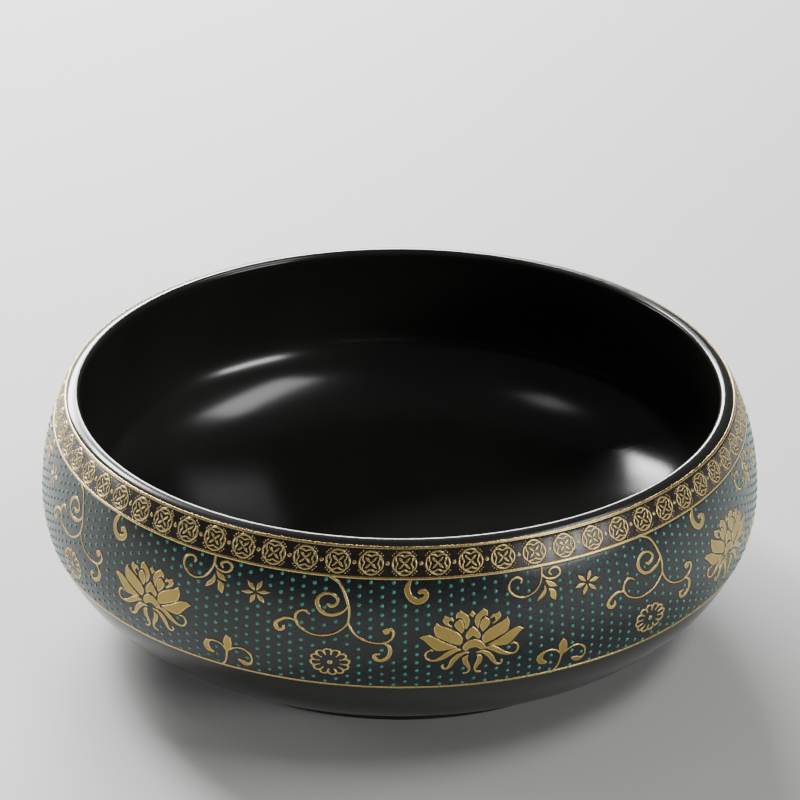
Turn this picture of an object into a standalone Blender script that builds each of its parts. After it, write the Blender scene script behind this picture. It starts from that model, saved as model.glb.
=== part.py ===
"""Black-glazed stoneware bowl with raised gold ornament fired on over coloured ground bands.

Every coat, band, line and ornament that is a separate firing layer is its own closed body.
Origin: centre of the circle the foot rests on. +Z is up, -Y is the front. Units: metres.
"""
import math

import bpy
from mathutils import Vector
from mathutils.geometry import delaunay_2d_cdt

MM = 0.001

# Turning and repeats
FACETS = 56                  # flats round every turned piece, eight to each ornament group
REPEATS = 7                  # ornament groups round the wall
UNROLL_RADIUS = 74.0         # mm: arc lengths along the wall are measured at this radius

# Section of the bowl, in mm
BOWL_HEIGHT = 50.0
BELLY_RADIUS = 73.62         # surface of the black coat at its widest
BELLY_HEIGHT = 28.3
SHOULDER_RADIUS = 44.7       # arc of the wall above the belly
LOWER_WIDTH = 28.4           # half axes of the elliptical wall under the belly
LOWER_DEPTH = 24.8
LIP_RADIUS = 2.8             # rounding of the lip towards the outside
LIP_INNER_RADIUS = 1.0       # and towards the inside
LIP_ARC_END = 62.0           # degrees: where the lip's own rounding hands over to the wall heights
WALL = 3.3                   # thickness of coat, clay and lining together
FLOOR_HEIGHT = 7.6           # top of the inside floor
FLOOR_FLAT_RADIUS = 30.0
FOOT_RADIUS = 50.8
FOOT_INNER_RADIUS = 45.0
FOOT_TOP = 3.6
RECESS_HEIGHT = 3.0          # underside of the clay inside the foot
COAT_END = 0.6               # height where the coat stops on the side of the foot
COAT = 0.35                  # thickness of the black coat
GAP = 0.03                   # clearance between touching layers

# Ground bands, gold lines and ornament, as heights off the coat in mm
GROUND_TOP = 0.14
LINE_TOP = 0.26
ORNAMENT_BASE = GROUND_TOP + GAP
ORNAMENT_TOP = 0.42

# Heights of the section's corners: on the surface, and on the buried faces under the coat
WALL_HEIGHTS = (20.8, 24.6, 28.3, 33.0, 38.2, 43.2, 46.2, 48.46, 49.45)
FACE_HEIGHTS = tuple(reversed(WALL_HEIGHTS)) + (16.0, 11.0, 7.0, 4.4)
BURIED_HEIGHTS = (48.46, 43.2, 36.2, 28.3, 20.8, 11.0, 4.4)

# Edges of the bands, in mm up the wall from the lowest gold line
BASE_LINE = (0.35, 0.85)
DOT_FIELD = (0.90, 23.35)
LOWER_LINE = (23.40, 24.00)
BORDER = (24.05, 29.10)
UPPER_LINE = (29.15, 29.75)


def material(name, colour, roughness, metallic=0.0):
    mat = bpy.data.materials.new(name)
    mat.use_nodes = True
    shader = mat.node_tree.nodes["Principled BSDF"]
    shader.inputs["Base Color"].default_value = (*colour, 1.0)
    shader.inputs["Roughness"].default_value = roughness
    shader.inputs["Metallic"].default_value = metallic
    mat.diffuse_color = (*colour, 1.0)
    return mat


def new_object(name, verts, edges, faces, mat):
    mesh = bpy.data.meshes.new(name)
    mesh.from_pydata([Vector(v) * MM for v in verts], edges, faces)
    mesh.materials.append(mat)
    obj = bpy.data.objects.new(name, mesh)
    COLLECTION.objects.link(obj)
    return obj


def lip_centre():
    """Centre of the lip's outer rounding, which runs into the wall's arc without a corner."""
    rise = BOWL_HEIGHT - LIP_RADIUS - BELLY_HEIGHT
    reach = math.sqrt((SHOULDER_RADIUS - LIP_RADIUS) ** 2 - rise ** 2)
    return Vector((BELLY_RADIUS - SHOULDER_RADIUS + reach, BOWL_HEIGHT - LIP_RADIUS))


def wall_point(height, lift=0.0):
    """Section point (radius, height) of the outer wall, lifted off its surface along the normal."""
    rise = height - BELLY_HEIGHT
    centre = lip_centre()
    shoulder = Vector((BELLY_RADIUS - SHOULDER_RADIUS, BELLY_HEIGHT))
    join = centre + (centre - shoulder).normalized() * LIP_RADIUS
    if height > join.y:
        up = height - centre.y
        normal = Vector((math.sqrt(LIP_RADIUS ** 2 - up ** 2), up)).normalized()
        radius = centre.x + normal.x * LIP_RADIUS
    elif rise >= 0.0:
        across = math.sqrt(SHOULDER_RADIUS ** 2 - rise ** 2)
        radius = BELLY_RADIUS - SHOULDER_RADIUS + across
        normal = Vector((across, rise)).normalized()
    else:
        across = LOWER_WIDTH * math.sqrt(1.0 - (rise / LOWER_DEPTH) ** 2)
        radius = BELLY_RADIUS - LOWER_WIDTH + across
        normal = Vector((across / LOWER_WIDTH ** 2, rise / LOWER_DEPTH ** 2)).normalized()
    return Vector((radius, height)) + normal * lift


def wall_stations():
    """Distance up the wall of each section corner, from the lowest gold line."""
    stations = [0.0]
    for below, above in zip(WALL_HEIGHTS, WALL_HEIGHTS[1:]):
        stations.append(stations[-1] + (wall_point(above) - wall_point(below)).length)
    return stations


def section(v, lift):
    """Point of the faceted wall's section at a distance v up it, lifted off the coat."""
    index = max(i for i in range(len(STATIONS) - 1) if i == 0 or STATIONS[i] <= v)
    share = (v - STATIONS[index]) / (STATIONS[index + 1] - STATIONS[index])
    below = wall_point(WALL_HEIGHTS[index], lift)
    above = wall_point(WALL_HEIGHTS[index + 1], lift)
    return below.lerp(above, share)


def on_wall(u, v, lift):
    """Lay the flat point (u, v) on the faceted wall: u runs round to the right, v runs up."""
    step = math.tau / FACETS
    angle = u / UNROLL_RADIUS
    facet = math.floor(angle / step + 1e-9)
    radius, height = section(v, lift)
    left = Vector((math.sin(facet * step), -math.cos(facet * step), 0.0)) * radius
    right = Vector((math.sin((facet + 1) * step), -math.cos((facet + 1) * step), 0.0)) * radius
    return left.lerp(right, angle / step - facet) + Vector((0.0, 0.0, height))


def turn(name, profile, mat, closed):
    """Turn a section that runs down its outer side into a round piece about Z."""
    edges = [(i, i + 1) for i in range(len(profile) - 1)]
    if closed:
        edges.append((len(profile) - 1, 0))
    obj = new_object(name, [(x, 0.0, z) for x, z in profile], edges, [], mat)
    screw = obj.modifiers.new("turned", "SCREW")
    screw.axis = "Z"
    screw.angle = math.tau
    screw.steps = FACETS
    screw.render_steps = FACETS
    screw.use_merge_vertices = True
    screw.merge_threshold = 0.00001
    screw.use_smooth_shade = True
    return obj


def arc(centre, radius, start, end, count):
    points = []
    for i in range(count + 1):
        angle = math.radians(start + (end - start) * i / count)
        points.append((centre[0] + radius * math.cos(angle), centre[1] + radius * math.sin(angle)))
    return points


def bowl_skin(inset, heights, lip_steps):
    """Section of the glazed bowl, from the axis on the inside floor over the lip to the foot."""
    outer_lip = lip_centre()
    inner_lip = Vector((outer_lip.x, BOWL_HEIGHT - LIP_INNER_RADIUS))
    inside_radius = BELLY_RADIUS - WALL
    points = [(0.0, FLOOR_HEIGHT - inset)]
    for x, z in arc((0.0, 0.0), 1.0, -90.0, 0.0, 4):
        radius = FLOOR_FLAT_RADIUS + (inside_radius - FLOOR_FLAT_RADIUS) * x + inset * x
        height = BELLY_HEIGHT + (BELLY_HEIGHT - FLOOR_HEIGHT) * z + inset * z
        points.append((radius, height))
    top = inner_lip.y - 1.0
    inner_top = inner_lip.x - LIP_INNER_RADIUS + 0.1
    middle = inner_top + (inside_radius - inner_top) * math.cos(math.radians(54.0))
    points.append((middle + inset, BELLY_HEIGHT + (top - BELLY_HEIGHT) * 0.6))
    points += arc(inner_lip, LIP_INNER_RADIUS - inset, 175.0, 90.0, lip_steps)
    points += arc(outer_lip, LIP_RADIUS - inset, 90.0, LIP_ARC_END, lip_steps)[1:]
    for height in heights:
        points.append(tuple(wall_point(height, -inset)))
    points.append((FOOT_RADIUS + 0.9, FOOT_TOP + inset))
    points.append((FOOT_RADIUS - inset, FOOT_TOP - 1.0))
    points.append((FOOT_RADIUS - inset, COAT_END))
    return points


def stoneware_body(mat):
    """Clay body: floor, wall and lip under the coat, with the bare foot it stands on."""
    skin = bowl_skin(COAT + GAP, BURIED_HEIGHTS, 1)
    foot = [
        (FOOT_RADIUS - COAT - GAP, 0.45),
        (FOOT_RADIUS - 0.9, 0.0),
        (FOOT_INNER_RADIUS + 0.5, 0.0),
        (FOOT_INNER_RADIUS, 0.5),
        (FOOT_INNER_RADIUS - 0.2, RECESS_HEIGHT),
        (0.0, RECESS_HEIGHT),
    ]
    return turn("stoneware_body", skin + foot, mat, closed=False)


def glaze_coat(mat):
    """Black coat over the inside, the lip and the outside, ending low on the side of the foot."""
    outer = bowl_skin(0.0, FACE_HEIGHTS, 2)
    inner = bowl_skin(COAT, BURIED_HEIGHTS, 1)
    return turn("glaze_coat", outer + list(reversed(inner)), mat, closed=False)


def base_glaze(mat):
    """Disc of black glaze in the recess inside the foot."""
    edge = FOOT_INNER_RADIUS - 0.5
    top = RECESS_HEIGHT - GAP
    profile = [(0.0, top), (edge, top), (edge - 0.1, top - COAT), (0.0, top - COAT)]
    return turn("base_glaze", profile, mat, closed=False)


def wall_band(name, edges, lift, mat):
    """Thin band round the wall between two distances up it."""
    low, high = edges
    corners = [high] + [s for s in reversed(STATIONS) if low < s < high] + [low]
    outer = [tuple(section(v, lift)) for v in corners]
    inner = [tuple(section(v, GAP)) for v in reversed(corners)]
    return turn(name, outer + inner, mat, closed=True)


def smooth(points, per_span):
    """Curve through the points, with extra points in each span."""
    if per_span < 2:
        return [Vector(p) for p in points]
    pts = [Vector(p) for p in points]
    pts = [pts[0] * 2 - pts[1]] + pts + [pts[-1] * 2 - pts[-2]]
    curve = []
    for a, b, c, d in zip(pts, pts[1:], pts[2:], pts[3:]):
        for i in range(per_span):
            t = i / per_span
            curve.append(0.5 * ((2 * b) + (c - a) * t + (2 * a - 5 * b + 4 * c - d) * t * t
                                + (3 * b - a - 3 * c + d) * t ** 3))
    return curve + [pts[-2]]


def ribbon(points, widths, per_span=1):
    """Outline of a stroke drawn through the points, its width going from one value to the next."""
    path = smooth(points, per_span)
    left = []
    right = []
    for i, point in enumerate(path):
        before = path[max(i - 1, 0)]
        after = path[min(i + 1, len(path) - 1)]
        along = (after - before).normalized()
        place = i / (len(path) - 1) * (len(widths) - 1)
        k = min(int(place), len(widths) - 2)
        width = widths[k] + (widths[k + 1] - widths[k]) * (place - k)
        side = Vector((-along.y, along.x)) * width / 2.0
        left.append(point + side)
        right.append(point - side)
    return right + list(reversed(left))


def mirrored(outlines):
    return [[Vector((-p[0], p[1])) for p in reversed(outline)] for outline in outlines]


def counter_clockwise(outline):
    area = 0.0
    for p, q in zip(outline, outline[1:] + outline[:1]):
        area += p[0] * q[1] - q[0] * p[1]
    return outline if area > 0.0 else list(reversed(outline))


def flat_pieces(outlines, holes):
    """Cut the union of the outlines, less the holes, into triangles that follow the wall's facets."""
    points = []
    faces = []
    for outline in outlines + holes:
        outline = counter_clockwise(list(outline))
        faces.append(list(range(len(points), len(points) + len(outline))))
        points += [Vector(p) for p in outline]
    low_u, high_u = min(p.x for p in points) - 1.0, max(p.x for p in points) + 1.0
    low_v, high_v = min(p.y for p in points) - 1.0, max(p.y for p in points) + 1.0
    edges = []
    pitch = math.tau / FACETS * UNROLL_RADIUS
    for k in range(math.ceil(low_u / pitch), math.floor(high_u / pitch) + 1):
        edges.append((len(points), len(points) + 1))
        points += [Vector((k * pitch, low_v)), Vector((k * pitch, high_v))]
    for v in STATIONS:
        if low_v < v < high_v:
            edges.append((len(points), len(points) + 1))
            points += [Vector((low_u, v)), Vector((high_u, v))]
    verts, _, triangles, _, _, sources = delaunay_2d_cdt(points, edges, faces, 0, 1e-5)
    kept = []
    for triangle, source in zip(triangles, sources):
        if source and max(source) < len(outlines):
            kept.append(list(triangle))
    return verts, kept


def ornament(name, outlines, place, mat, holes=()):
    """Raised gold ornament: a plate cut to the outlines, laid on the wall round to its place."""
    moved = [[Vector((p[0] + place, p[1])) for p in outline] for outline in outlines]
    cut = [[Vector((p[0] + place, p[1])) for p in outline] for outline in holes]
    flat, triangles = flat_pieces(moved, cut)
    used = sorted({i for triangle in triangles for i in triangle})
    number = {old: new for new, old in enumerate(used)}
    top = [on_wall(flat[i].x, flat[i].y, ORNAMENT_TOP) for i in used]
    bottom = [on_wall(flat[i].x, flat[i].y, ORNAMENT_BASE) for i in used]
    count = len(used)
    faces = []
    borders = set()
    for triangle in triangles:
        a, b, c = (number[i] for i in triangle)
        faces.append((a, b, c))
        faces.append((c + count, b + count, a + count))
        for edge in ((a, b), (b, c), (c, a)):
            if edge[::-1] in borders:
                borders.remove(edge[::-1])
            else:
                borders.add(edge)
    for a, b in sorted(borders):
        faces.append((b, a, a + count, b + count))
    return new_object(name, top + bottom, [], faces, mat)


def lotus_outlines():
    """Open lotus seen from the side: a broad head of petals over six curling sepals."""
    half_head = [
        (0.65, 16.3), (0.35, 15.7), (2.3, 17.15), (3.3, 15.3), (5.4, 16.3), (5.6, 14.6),
        (6.9, 15.0), (7.4, 13.5), (7.2, 12.3), (10.2, 12.2), (7.6, 9.7), (6.6, 9.25),
        (3.0, 9.55), (2.3, 8.85), (1.5, 8.75), (0.8, 9.2),
    ]
    other_half = [(-u, v) for u, v in reversed(half_head)]
    head = [(0.0, 17.0)] + half_head + other_half
    sepals = [
        ribbon([(2.3, 9.3), (4.9, 8.5), (8.1, 7.2), (8.6, 8.9)], [0.6, 1.2, 0.6, 0.3]),
        ribbon([(1.9, 9.1), (3.6, 7.0), (5.6, 5.3)], [0.8, 1.1, 0.4]),
        ribbon([(1.2, 9.1), (1.4, 6.8), (0.7, 3.8)], [0.5, 1.1, 0.4]),
    ]
    return [head] + sepals + mirrored(sepals)


def big_scroll_outlines():
    """Tendril from the lower gold line: an inner spiral, a long left arm and a forked right arm."""
    stem = ribbon([(-3.2, 23.1), (-1.5, 22.0), (0.0, 18.4), (0.0, 14.7)], [0.5, 0.5])
    spiral = ribbon([(0.0, 18.6), (-1.4, 16.6), (-4.2, 16.1), (-6.1, 18.2), (-4.9, 20.1),
                     (-2.4, 19.8), (-2.3, 18.3), (-4.0, 18.1)],
                    [0.4, 0.7, 0.8, 0.6, 0.5, 0.6])
    left_arm = ribbon([(0.1, 15.0), (-1.9, 12.6), (-5.6, 11.75), (-9.4, 13.1), (-10.0, 15.6),
                       (-7.7, 16.2)], [0.45, 0.45])
    left_curl = ribbon([(-9.5, 13.9), (-12.6, 14.3), (-14.1, 12.7), (-12.6, 12.3)],
                       [0.4, 0.8, 0.9, 0.7])
    right_arm = ribbon([(-0.1, 15.0), (1.7, 12.2), (4.8, 10.95), (8.1, 11.6), (8.6, 13.6),
                        (7.0, 13.4)], [0.45, 0.45, 0.45, 0.9])
    right_curl = ribbon([(5.6, 11.1), (8.0, 9.6), (6.9, 7.4), (5.1, 7.9), (6.2, 8.5)],
                        [0.4, 0.8, 0.8, 0.7, 0.4])
    return [stem, spiral, left_arm, left_curl, right_arm, right_curl]


def daisy_outlines():
    """Ring of twelve scalloped petals, returned with the opening in its middle."""
    rim = []
    eye = []
    for k in range(24):
        angle = math.pi * k / 12.0
        reach = 1.0 if k % 2 == 0 else 0.84
        rim.append((3.95 * reach * math.cos(angle), 6.2 + 3.05 * reach * math.sin(angle)))
        if k % 2 == 1:
            eye.append((2.2 * math.cos(angle), 6.2 + 1.7 * math.sin(angle)))
    return [rim], [eye]


def small_curl_outlines():
    """Thick hook that hangs from the lower gold line."""
    return [ribbon([(0.0, 23.35), (-0.5, 21.9), (0.3, 19.9), (1.8, 19.25), (3.1, 20.0),
                    (2.9, 21.2), (1.8, 21.2)], [0.7, 1.2, 1.3, 1.2, 0.8])]


def leaf_scroll_outlines():
    """Short stem that parts into a long left curl, a tight right curl and three leaves."""
    left_curl = ribbon([(0.0, 23.35), (-0.2, 21.4), (-1.9, 18.9), (-5.0, 18.3), (-7.0, 20.3),
                        (-5.8, 22.2), (-4.3, 21.4)], [0.4, 0.45])
    right_curl = ribbon([(-0.1, 22.3), (1.4, 20.95), (3.5, 21.2), (3.0, 22.8), (1.5, 22.2)],
                        [0.4, 0.45])
    upper_leaf = ribbon([(-0.2, 21.6), (1.6, 19.9), (3.0, 19.2)], [0.4, 1.0, 0.2])
    left_leaf = ribbon([(0.0, 21.3), (0.2, 18.6), (-1.5, 17.0)], [0.3, 1.1, 0.2])
    right_leaf = ribbon([(0.2, 21.2), (2.0, 18.0), (2.5, 16.5)], [0.3, 1.2, 0.2])
    return [left_curl, right_curl, upper_leaf, left_leaf, right_leaf]


def star_outlines():
    """Flower of six pointed petals, a little wider than high."""
    outline = []
    for k in range(6):
        tip = math.radians(10.0 + 60.0 * k)
        for turn_by, reach in ((-30.0, 0.85), (-12.0, 1.9), (0.0, 3.05), (12.0, 1.9)):
            angle = tip + math.radians(turn_by)
            outline.append((-0.2 + reach * math.cos(angle), 18.4 + 0.84 * reach * math.sin(angle)))
    return [outline]


def base_sprig_outlines():
    """Bud on a stem from the lowest gold line, between two drooping arms with leaf ends."""
    stem = ribbon([(-1.5, 0.8), (-0.4, 2.4), (0.1, 5.2)], [0.45, 0.45])
    bud = [(0.2, 8.2), (-0.6, 7.2), (-0.7, 6.2), (0.1, 4.5), (0.9, 5.4), (1.1, 6.5), (0.8, 7.5)]
    left_arm = ribbon([(-0.1, 4.6), (-1.3, 6.0), (-3.4, 6.2), (-4.8, 4.7), (-3.2, 3.5)],
                      [0.4, 0.45, 0.5, 1.3, 0.8])
    right_arm = ribbon([(0.3, 4.7), (2.0, 5.9), (4.4, 5.6), (5.1, 3.5), (4.0, 2.6), (2.5, 3.0)],
                       [0.4, 0.45, 0.45, 0.5, 1.2, 0.7])
    return [stem, bud, left_arm, right_arm]


def build():
    clay = material("clay", (0.16, 0.105, 0.07), 0.85)
    glaze = material("black_glaze", (0.012, 0.012, 0.014), 0.12)
    border_ground = material("border_ground", (0.035, 0.018, 0.014), 0.22)
    field_ground = material("field_ground", (0.022, 0.03, 0.042), 0.25)
    gold = material("gold_lustre", (0.72, 0.55, 0.27), 0.32, 1.0)

    stoneware_body(clay)
    glaze_coat(glaze)
    base_glaze(glaze)
    wall_band("dot_field_ground", DOT_FIELD, GROUND_TOP, field_ground)
    wall_band("border_ground", BORDER, GROUND_TOP, border_ground)
    wall_band("upper_gold_line", UPPER_LINE, LINE_TOP, gold)
    wall_band("lower_gold_line", LOWER_LINE, LINE_TOP, gold)
    wall_band("base_gold_line", BASE_LINE, LINE_TOP, gold)

    # Place of each ornament round its group, in mm to the right of the front
    daisy, daisy_eye = daisy_outlines()
    group = (
        ("daisy", daisy, daisy_eye, -13.2),
        ("big_scroll", big_scroll_outlines(), [], -9.8),
        ("small_curl", small_curl_outlines(), [], 2.0),
        ("lotus", lotus_outlines(), [], 14.0),
        ("leaf_scroll", leaf_scroll_outlines(), [], 28.6),
        ("base_sprig", base_sprig_outlines(), [], 32.2),
        ("star_flower", star_outlines(), [], 38.3),
    )
    pitch = math.tau / REPEATS * UNROLL_RADIUS
    for name, outlines, holes, place in group:
        for k in range(REPEATS):
            ornament(f"{name}_{k + 1}", outlines, place + k * pitch, gold, holes)


for old in list(bpy.data.objects):
    bpy.data.objects.remove(old, do_unlink=True)
COLLECTION = bpy.data.collections.new("glazed_bowl")
bpy.context.scene.collection.children.link(COLLECTION)
STATIONS = wall_stations()
build()
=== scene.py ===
"""Looks for the black-glazed bowl: smooth turned coats, raised gold ornament and enamel dots."""

import math

import bpy
import numpy as np
from mathutils import Matrix, Vector
from mathutils.geometry import delaunay_2d_cdt


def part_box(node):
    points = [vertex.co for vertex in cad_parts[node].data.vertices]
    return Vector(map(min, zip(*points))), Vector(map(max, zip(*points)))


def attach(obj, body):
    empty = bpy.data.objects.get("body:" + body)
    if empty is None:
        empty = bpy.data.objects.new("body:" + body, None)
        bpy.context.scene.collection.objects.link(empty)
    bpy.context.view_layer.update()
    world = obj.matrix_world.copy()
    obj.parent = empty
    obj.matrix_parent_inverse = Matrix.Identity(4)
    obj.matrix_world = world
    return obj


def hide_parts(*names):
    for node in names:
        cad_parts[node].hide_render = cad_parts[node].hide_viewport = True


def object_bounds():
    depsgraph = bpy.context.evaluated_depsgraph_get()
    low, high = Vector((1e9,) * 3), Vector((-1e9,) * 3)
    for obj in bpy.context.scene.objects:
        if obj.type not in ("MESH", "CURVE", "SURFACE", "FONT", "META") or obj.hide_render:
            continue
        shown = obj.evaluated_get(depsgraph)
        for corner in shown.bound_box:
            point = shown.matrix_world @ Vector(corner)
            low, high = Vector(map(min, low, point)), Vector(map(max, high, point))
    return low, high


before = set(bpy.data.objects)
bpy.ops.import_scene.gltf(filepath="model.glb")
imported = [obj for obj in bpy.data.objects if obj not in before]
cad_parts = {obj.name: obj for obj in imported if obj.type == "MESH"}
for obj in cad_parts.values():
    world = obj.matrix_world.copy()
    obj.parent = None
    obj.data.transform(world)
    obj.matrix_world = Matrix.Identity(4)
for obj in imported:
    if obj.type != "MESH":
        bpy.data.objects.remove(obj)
CAD_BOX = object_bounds()

MM = 0.001
ROUND = 420                  # sides of the turned pieces
REPEATS = 7                  # ornament groups round the wall
MEDALLIONS = 70
UNROLL_RADIUS = 74.0         # mm: arc lengths round the wall are measured at this radius

# Section of the bowl in mm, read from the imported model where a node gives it
BELLY_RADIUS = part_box("glaze_coat")[1].x / MM
BOWL_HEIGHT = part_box("glaze_coat")[1].z / MM
FOOT_RADIUS = 50.8
FOOT_INNER_RADIUS = 45.0
BELLY_HEIGHT = 28.3
SHOULDER_RADIUS = 44.7
LOWER_WIDTH = 28.4
LOWER_DEPTH = 24.8
WALL_ZERO = 20.8             # height where v, the length up the wall, is 0
WALL_FOOT = 4.4              # height where the wall turns into the foot
LIP_RADIUS = 2.8             # rounding of the lip towards the outside
LIP_INNER_RADIUS = 1.0       # and towards the inside
LIP_HEIGHT = BOWL_HEIGHT - LIP_RADIUS
LIP_REACH = math.sqrt((SHOULDER_RADIUS - LIP_RADIUS) ** 2 - (LIP_HEIGHT - BELLY_HEIGHT) ** 2)
LIP_MIDDLE = BELLY_RADIUS - SHOULDER_RADIUS + LIP_REACH
LIP_JOIN = math.atan2(LIP_HEIGHT - BELLY_HEIGHT, LIP_REACH)   # angle where the lip meets the wall
LIP_FOOT = LIP_HEIGHT + LIP_RADIUS * math.sin(LIP_JOIN)       # and its height
WALL = 3.3                   # thickness of coat, clay and lining together
FLOOR_HEIGHT = 7.6           # top of the inside floor
FLOOR_FLAT_RADIUS = 30.0
RECESS_HEIGHT = 3.0          # underside of the clay inside the foot
COAT = 0.35                  # thickness of the black coat
COAT_END = 0.6               # height where the coat stops on the side of the foot

# Bands, as lengths v up the wall, and how far the layers stand off the coat
GROUND_TOP = 0.14
FILM_EDGE = 0.03             # how far a ground's edge drops
FILM_SINK = 0.08             # how far a ground reaches into the coat
DOT_FIELD = (0.60, 23.70)
BORDER = (23.70, 29.45)
BASE_LINE = (0.35, 0.85)
LOWER_LINE = (23.44, 23.96)
UPPER_LINE = (29.18, 29.70)
BORDER_MIDDLE = 26.55
LINE_TOP = 0.22
BASE_LINE_TOP = 0.21


# ---------------------------------------------------------------- section of the wall

def wall_section(z):
    """Radius and outward normal (across, up) of the outer wall at height z, all in mm."""
    z = np.asarray(z, float)
    rise = z - BELLY_HEIGHT
    upper = np.sqrt(np.clip(SHOULDER_RADIUS ** 2 - rise ** 2, 0.0, None))
    lower = LOWER_WIDTH * np.sqrt(np.clip(1.0 - (rise / LOWER_DEPTH) ** 2, 0.0, 1.0))
    above = rise >= 0.0
    radius = np.where(above, BELLY_RADIUS - SHOULDER_RADIUS + upper,
                      BELLY_RADIUS - LOWER_WIDTH + lower)
    across = np.where(above, upper, lower / LOWER_WIDTH ** 2)
    up = np.where(above, rise, rise / LOWER_DEPTH ** 2)
    lip = z > LIP_FOOT
    lip_up = z - LIP_HEIGHT
    lip_across = np.sqrt(np.clip(LIP_RADIUS ** 2 - lip_up ** 2, 0.0, None))
    radius = np.where(lip, LIP_MIDDLE + lip_across, radius)
    across = np.where(lip, lip_across, across)
    up = np.where(lip, lip_up, up)
    size = np.hypot(across, up)
    return radius, across / size, up / size


# height and radius of the wall against the length up it
TABLE_Z = np.linspace(WALL_ZERO - 3.0, BOWL_HEIGHT - 0.2, 2400)
TABLE_R = wall_section(TABLE_Z)[0]
TABLE_V = np.concatenate([[0.0], np.cumsum(np.hypot(np.diff(TABLE_Z), np.diff(TABLE_R)))])
TABLE_V -= np.interp(WALL_ZERO, TABLE_Z, TABLE_V)


def section(v, lift):
    """Radius and height of the point v mm up the wall, lifted off the coat."""
    z = np.interp(v, TABLE_V, TABLE_Z)
    radius, across, up = wall_section(z)
    return radius + across * lift, z + up * lift


def on_wall(flat, lift):
    """Lay flat points (u, v) on the wall. u runs round to the viewer's right from the front."""
    radius, height = section(flat[:, 1], lift)
    angle = flat[:, 0] / UNROLL_RADIUS
    return np.stack([radius * np.sin(angle), -radius * np.cos(angle), height], 1) * MM


# ---------------------------------------------------------------- meshes

def new_piece(name, verts, faces, mat, replaced=(), shade=None):
    """Smooth-shaded piece that rides on the bowl. Shade is a depth in mm for each point, from which
    the gold paints its rim highlight and recess shade.
    """
    mesh = bpy.data.meshes.new(name)
    mesh.from_pydata([tuple(v) for v in verts], [], [tuple(f) for f in faces])
    mesh.materials.append(mat)
    mesh.polygons.foreach_set("use_smooth", [True] * len(mesh.polygons))
    if shade is not None:
        # depth in from the border, which the gold material turns into painted highlight and painted
        # shade
        layer = mesh.attributes.new("painted_highlight_depth", "FLOAT", "POINT")
        layer.data.foreach_set("value", np.asarray(shade, np.float32))
    mesh.update()
    piece = bpy.data.objects.new(name, mesh)
    bpy.context.scene.collection.objects.link(piece)
    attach(piece, "root")
    if replaced:
        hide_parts(*replaced)
    return piece


def turned(profile):
    """Closed body of revolution. The profile starts and ends on the axis."""
    verts = []
    faces = []
    rings = []
    for radius, height in profile:
        if radius < 1e-6:
            rings.append([len(verts)])
            verts.append((0.0, 0.0, height * MM))
            continue
        start = len(verts)
        for i in range(ROUND):
            angle = math.tau * i / ROUND
            verts.append((radius * math.sin(angle) * MM, -radius * math.cos(angle) * MM,
                          height * MM))
        rings.append(list(range(start, start + ROUND)))
    for upper, lower in zip(rings, rings[1:]):
        for i in range(ROUND):
            j = (i + 1) % ROUND
            if len(upper) == 1:
                faces.append((upper[0], lower[i], lower[j]))
            elif len(lower) == 1:
                faces.append((upper[j], upper[i], lower[0]))
            else:
                faces.append((upper[i], lower[i], lower[j], upper[j]))
    return verts, faces


def arc(centre, radius, start, end, count):
    angles = np.radians(np.linspace(start, end, count + 1))
    return [(centre[0] + radius * math.cos(a), centre[1] + radius * math.sin(a)) for a in angles]


def bowl_skin(inset, fine):
    """Section of the glazed bowl from the axis on the inside floor over the lip to the foot."""
    inner_lip = (LIP_MIDDLE, BOWL_HEIGHT - LIP_INNER_RADIUS)
    inside = BELLY_RADIUS - WALL
    points = [(0.0, FLOOR_HEIGHT - inset)]
    points += [(r, FLOOR_HEIGHT - inset) for r in (6.0, 14.0, 22.0)]
    for a in np.radians(np.linspace(-90.0, 0.0, 12 * fine + 1)):
        radius = FLOOR_FLAT_RADIUS + (inside - FLOOR_FLAT_RADIUS + inset) * math.cos(a)
        height = BELLY_HEIGHT + (BELLY_HEIGHT - FLOOR_HEIGHT + inset) * math.sin(a)
        points.append((radius, height))
    inner_top = LIP_MIDDLE - LIP_INNER_RADIUS
    top = inner_lip[1]
    for share in np.linspace(0.0, 1.0, 7 * fine + 1)[1:-1]:
        radius = inner_top + (inside - inner_top) * math.cos(share * math.pi / 2.0)
        points.append((radius + inset, BELLY_HEIGHT + (top - BELLY_HEIGHT) * share))
    points += arc(inner_lip, LIP_INNER_RADIUS - inset, 180.0, 90.0, 5 * fine)
    points += arc((LIP_MIDDLE, LIP_HEIGHT), LIP_RADIUS - inset, 90.0, math.degrees(LIP_JOIN),
                  6 * fine)[1:]
    for z in np.linspace(LIP_FOOT, WALL_FOOT, 22 * fine + 1)[1:]:
        radius, across, up = wall_section(z)
        points.append((float(radius - across * inset), float(z - up * inset)))
    points += [(FOOT_RADIUS + 0.9 - inset * 0.3, 3.6 + inset),
               (FOOT_RADIUS + 0.25 - inset * 0.8, 3.15 + inset * 0.6)]
    points += [(FOOT_RADIUS - inset, z) for z in (2.6, 1.4, COAT_END)]
    return points


# ---------------------------------------------------------------- flat outlines, in mm

def smooth(points, per_span):
    """Curve through the points, with a few steps between each two."""
    pts = [np.array(p, float) for p in points]
    pts = [pts[0] * 2 - pts[1]] + pts + [pts[-1] * 2 - pts[-2]]
    curve = []
    for a, b, c, d in zip(pts, pts[1:], pts[2:], pts[3:]):
        for i in range(per_span):
            t = i / per_span
            curve.append(0.5 * (2 * b + (c - a) * t + (2 * a - 5 * b + 4 * c - d) * t * t
                                + (3 * b - a - 3 * c + d) * t ** 3))
    curve.append(pts[-2])
    return curve


def disc(centre, radius, count=18):
    return [(centre[0] + radius * math.cos(math.tau * i / count),
             centre[1] + radius * math.sin(math.tau * i / count)) for i in range(count)]


def bend(a, b, c):
    """Positive where the path a b c turns left."""
    return (b[0] - a[0]) * (c[1] - a[1]) - (b[1] - a[1]) * (c[0] - a[0])


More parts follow.
